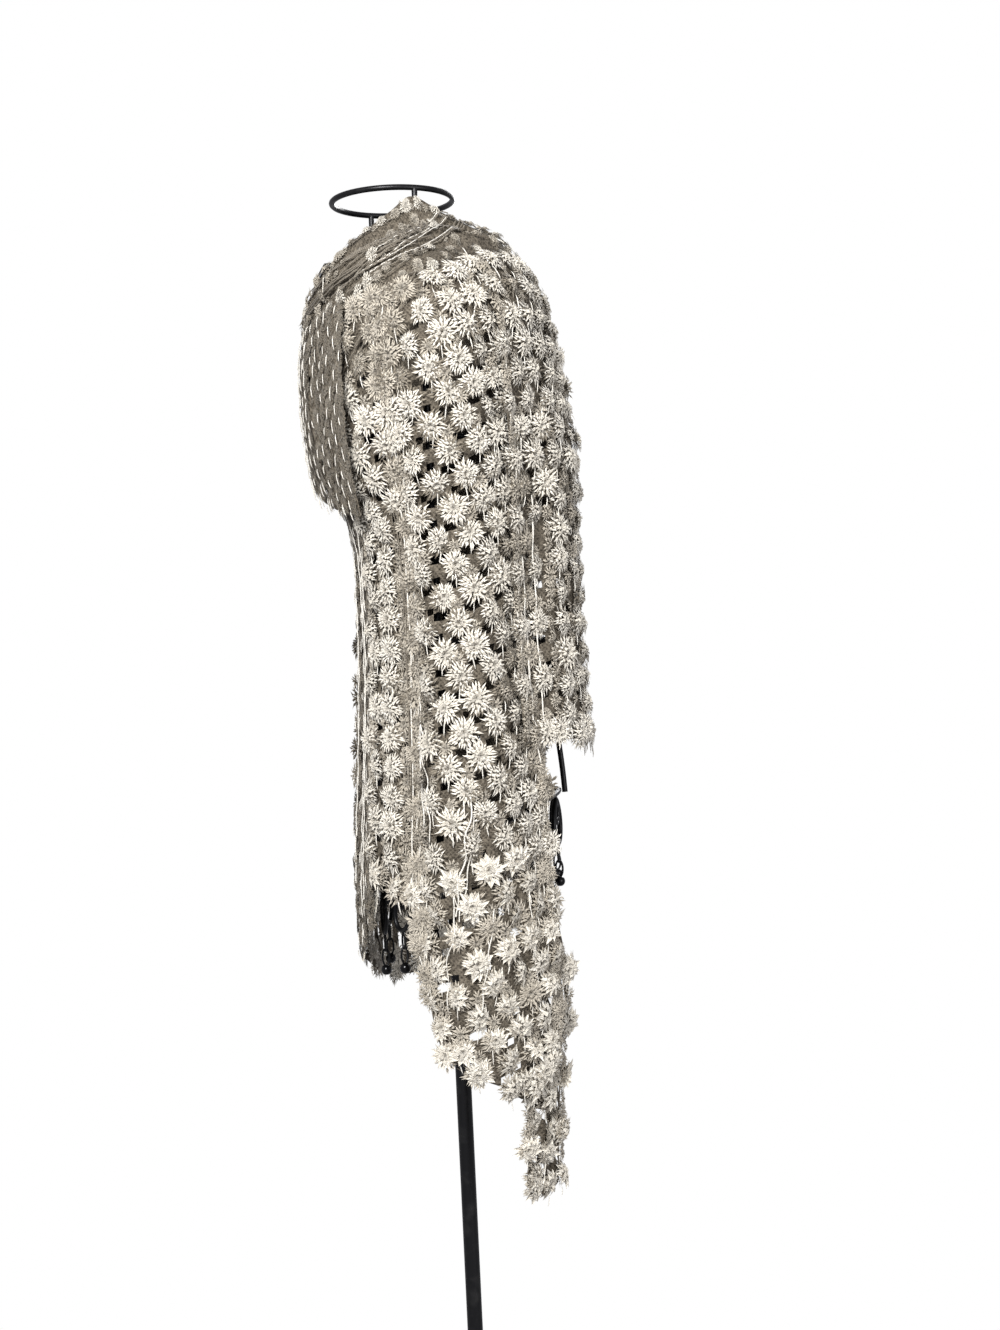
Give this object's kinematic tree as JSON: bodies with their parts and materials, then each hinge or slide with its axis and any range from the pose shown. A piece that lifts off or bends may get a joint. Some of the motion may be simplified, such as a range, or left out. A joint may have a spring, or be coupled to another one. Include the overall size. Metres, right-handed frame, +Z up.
{
  "type": "lace shawl on wire dress form",
  "caption": "Crochet lace shawl of joined flowers, wound round the neck and hung in long falls on a wire dress form with a round base.",
  "frame": {"origin": "centre of the base's underside, on the floor", "axes": "+Z up the pole; the form faces -Y, and its own left side, the side in the picture, is +X"},
  "size_m": [0.3726, 0.3, 1.5026],
  "materials": {
    "ivory_lace": "matte cotton lace, flowers in ivory over a taupe net",
    "taupe_reverse": "matte reverse of the lace, taupe net with short ivory threads",
    "black_metal": "satin black paint on steel wire"
  },
  "bodies": {
    "root": {"neck_cowl": "ivory_lace", "near_fall": "ivory_lace", "back_fall": "ivory_lace", "lower_tail": "ivory_lace", "far_fall": "taupe_reverse", "front_drape": "taupe_reverse", "stand_base": "black_metal", "pole": "black_metal", "hub": "black_metal", "spoke_0": "black_metal", "spoke_1": "black_metal", "spoke_2": "black_metal", "spoke_3": "black_metal", "neck_ring": "black_metal", "neck_hoop": "black_metal", "neck_post_0": "black_metal", "neck_post_1": "black_metal", "bust_hoop": "black_metal", "waist_hoop": "black_metal", "hem_hoop": "black_metal", "upright_0": "black_metal", "upright_1": "black_metal", "upright_2": "black_metal", "upright_3": "black_metal", "upright_4": "black_metal", "upright_5": "black_metal", "upright_6": "black_metal", "upright_7": "black_metal", "scroll_0": "black_metal", "scroll_1": "black_metal", "scroll_2": "black_metal", "scroll_3": "black_metal", "scroll_4": "black_metal", "scroll_5": "black_metal", "scroll_6": "black_metal", "scroll_7": "black_metal", "drop_0": "black_metal", "drop_1": "black_metal", "drop_2": "black_metal", "drop_3": "black_metal", "drop_4": "black_metal", "drop_5": "black_metal", "drop_6": "black_metal", "drop_7": "black_metal", "scroll_8": "black_metal", "drop_8": "black_metal", "scroll_9": "black_metal", "drop_9": "black_metal", "scroll_10": "black_metal", "drop_10": "black_metal", "scroll_11": "black_metal", "drop_11": "black_metal"}
  },
  "joints": []
}
